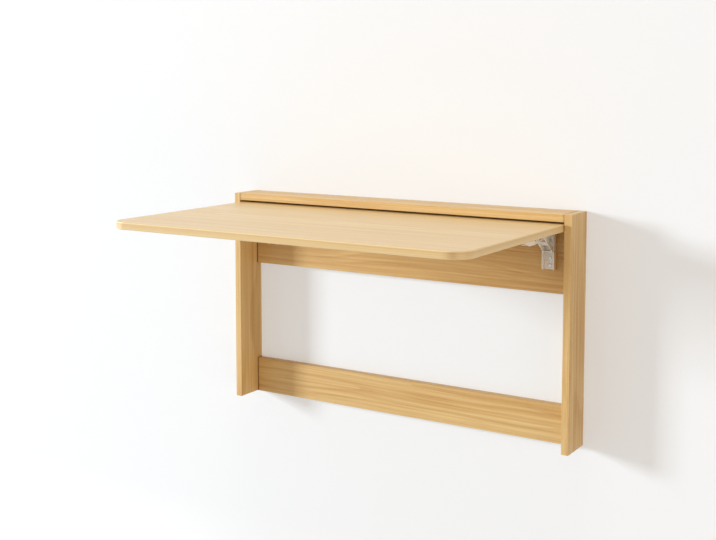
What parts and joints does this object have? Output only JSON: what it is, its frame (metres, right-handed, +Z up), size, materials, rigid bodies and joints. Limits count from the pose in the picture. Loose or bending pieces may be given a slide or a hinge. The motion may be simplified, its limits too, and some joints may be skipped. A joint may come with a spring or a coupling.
{
  "type": "fold-down wall desk",
  "caption": "Wall-hung drop-leaf desk: an open wooden frame whose rounded desktop is held by folding steel brackets and folds down flat.",
  "frame": {"origin": "middle of the four wall screw holes, on the wall plane", "axes": "+X to the right seen from the front, +Y into the wall, +Z up"},
  "size_m": [0.95, 0.585, 0.55],
  "materials": {
    "frame_wood": "clear satin lacquer on light oak",
    "desk_wood": "clear satin lacquer on light oak",
    "dowel_wood": "raw beech",
    "bracket_paint": "warm white powder coat",
    "plated_steel": "bright zinc plate",
    "spring_steel": "warm white coat over spring steel",
    "spacer_nylon": "natural nylon"
  },
  "bodies": {
    "frame": {"left_post": "frame_wood", "right_post": "frame_wood", "top_board": "frame_wood", "upper_rail": "frame_wood", "lower_rail": "frame_wood", "wood_dowels": "dowel_wood", "cam_bolts": "plated_steel", "cam_discs": "plated_steel", "left_wall_leg": "bracket_paint", "left_pivot_rivet": "plated_steel", "left_foot_pin": "plated_steel", "left_leg_screws": "plated_steel", "right_wall_leg": "bracket_paint", "right_pivot_rivet": "plated_steel", "right_foot_pin": "plated_steel", "right_leg_screws": "plated_steel"},
    "desktop": {"desktop": "desk_wood", "left_desk_arm": "bracket_paint", "left_lock_spring": "spring_steel", "left_spring_rivet": "plated_steel", "left_arm_screws": "plated_steel", "right_desk_arm": "bracket_paint", "right_lock_spring": "spring_steel", "right_spring_rivet": "plated_steel", "right_arm_screws": "plated_steel"},
    "left_strut": {"left_strut": "bracket_paint", "left_slide_pin": "plated_steel", "left_slide_spacers": "spacer_nylon"},
    "right_strut": {"right_strut": "bracket_paint", "right_slide_pin": "plated_steel", "right_slide_spacers": "spacer_nylon"}
  },
  "joints": [
    {"name": "desk_fold", "type": "hinge", "parent": "frame", "child": "desktop", "pos_m": [0, -0.035, 0.027], "axis": [1, 0, 0], "range_deg": [0, 90], "deforming": ["left_lock_spring", "right_lock_spring"]},
    {"name": "left_strut_swing", "type": "hinge", "parent": "frame", "child": "left_strut", "pos_m": [-0.395, -0.03, -0.016], "axis": [1, 0, 0], "range_deg": [0, 121.5]},
    {"name": "right_strut_swing", "type": "hinge", "parent": "frame", "child": "right_strut", "pos_m": [0.395, -0.03, -0.016], "axis": [1, 0, 0], "range_deg": [0, 121.5]}
  ],
  "couplings": [
    {"joint": "left_strut_swing", "follows": "desk_fold", "ratio": 1.35},
    {"joint": "right_strut_swing", "follows": "desk_fold", "ratio": 1.35}
  ]
}
